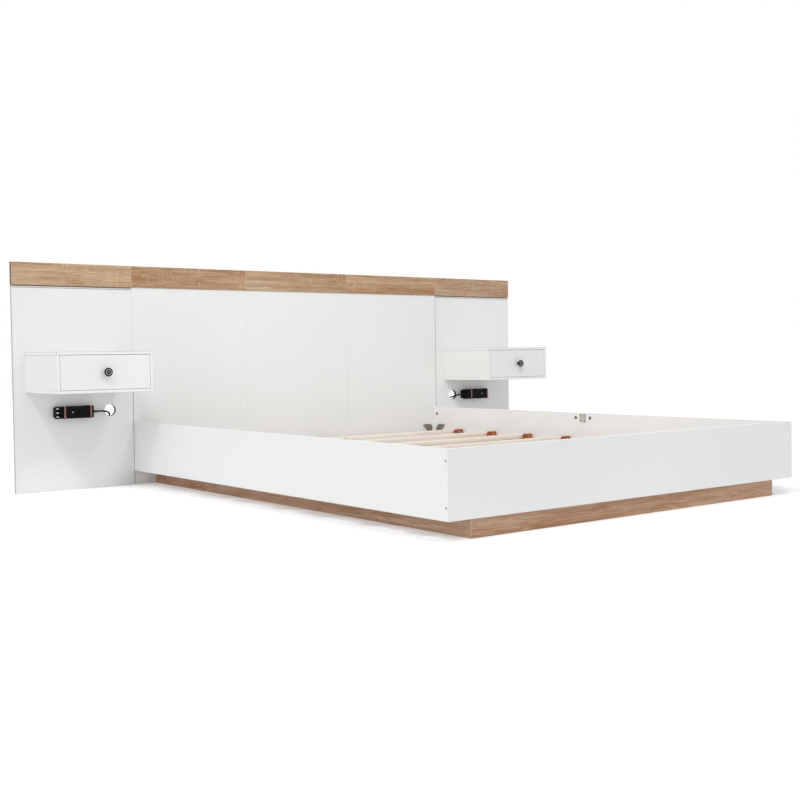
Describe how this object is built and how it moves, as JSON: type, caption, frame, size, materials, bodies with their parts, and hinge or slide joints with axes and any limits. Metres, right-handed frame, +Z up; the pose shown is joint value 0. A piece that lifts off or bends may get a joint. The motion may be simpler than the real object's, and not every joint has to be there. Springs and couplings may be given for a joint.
{
  "type": "bed with attached nightstands",
  "caption": "Low panel bed with a wide oak-topped headboard, two hung drawer nightstands, slats, a recessed plinth and power strips with leads.",
  "frame": {"origin": "middle of the bed's footprint on the floor, leads left out", "axes": "+X across the bed to its right seen from the foot, +Y from the foot to the headboard, +Z up"},
  "size_m": [2.696, 2.201, 0.928],
  "materials": {
    "white_board": "white melamine-faced chipboard, satin",
    "oak_board": "sawn-oak decor foil on chipboard, matt with fine grain",
    "edge_profile": "white edge profile, satin",
    "pine": "planed bare softwood with knots",
    "galvanised": "galvanised pressed steel",
    "screw_steel": "zinc-plated screws",
    "brass_screw": "yellow-passivated screws",
    "cam_metal": "dark die-cast cam fasteners",
    "brown_plastic": "moulded red-brown plastic",
    "knob_metal": "dark grey lacquered metal with turned rings",
    "black_housing": "black moulded plastic, fine texture",
    "red_frame": "dark red moulded plastic",
    "lens": "clear indicator lens",
    "lead_sheath": "black flexible sheath"
  },
  "bodies": {
    "bed": {"panel_left_outer": "white_board", "panel_left_inner": "white_board", "panel_middle": "white_board", "panel_right_inner": "white_board", "panel_right_outer": "white_board", "rail_left_head": "white_board", "rail_left_foot": "white_board", "rail_right_head": "white_board", "rail_right_foot": "white_board", "footboard": "white_board", "nightstand_left_top": "white_board", "nightstand_left_bottom": "white_board", "nightstand_left_sides": "white_board", "nightstand_right_top": "white_board", "nightstand_right_bottom": "white_board", "nightstand_right_sides": "white_board", "top_board_left_outer": "oak_board", "top_board_left_inner": "oak_board", "top_board_middle": "oak_board", "top_board_right_inner": "oak_board", "top_board_right_outer": "oak_board", "plinth_front": "oak_board", "plinth_back": "oak_board", "plinth_sides_left": "oak_board", "plinth_sides_right": "oak_board", "plinth_centre": "oak_board", "edge_trims": "edge_profile", "panel_dowels": "pine", "slat_ledges": "pine", "slats": "pine", "spacer_blocks": "pine", "drawer_runners": "pine", "joining_plates": "galvanised", "rail_joint_plates": "galvanised", "corner_brackets": "galvanised", "headboard_screws": "screw_steel", "frame_screws": "screw_steel", "slat_cap_screws": "brass_screw", "rail_cams": "cam_metal", "slat_caps": "brown_plastic", "power_strip_left": "black_housing", "power_strip_right": "black_housing", "strip_end_blocks": "black_housing", "strip_frames": "red_frame", "strip_lenses": "lens", "strip_reliefs": "lead_sheath", "lead_left": "lead_sheath", "lead_right": "lead_sheath", "lead_coil_left": "lead_sheath", "lead_coil_right": "lead_sheath", "plug_left": "lead_sheath", "plug_right": "lead_sheath"},
    "drawer_left": {"drawer_left_front": "white_board", "drawer_left_box": "white_board", "drawer_left_bottom": "white_board", "drawer_left_knob": "knob_metal"},
    "drawer_right": {"drawer_right_front": "white_board", "drawer_right_box": "white_board", "drawer_right_bottom": "white_board", "drawer_right_knob": "knob_metal"}
  },
  "joints": [
    {"name": "drawer_left_slide", "type": "slide", "parent": "bed", "child": "drawer_left", "axis": [0, -1, 0], "range_m": [0, 0.24]},
    {"name": "drawer_right_slide", "type": "slide", "parent": "bed", "child": "drawer_right", "axis": [0, -1, 0], "range_m": [0, 0.24]}
  ]
}
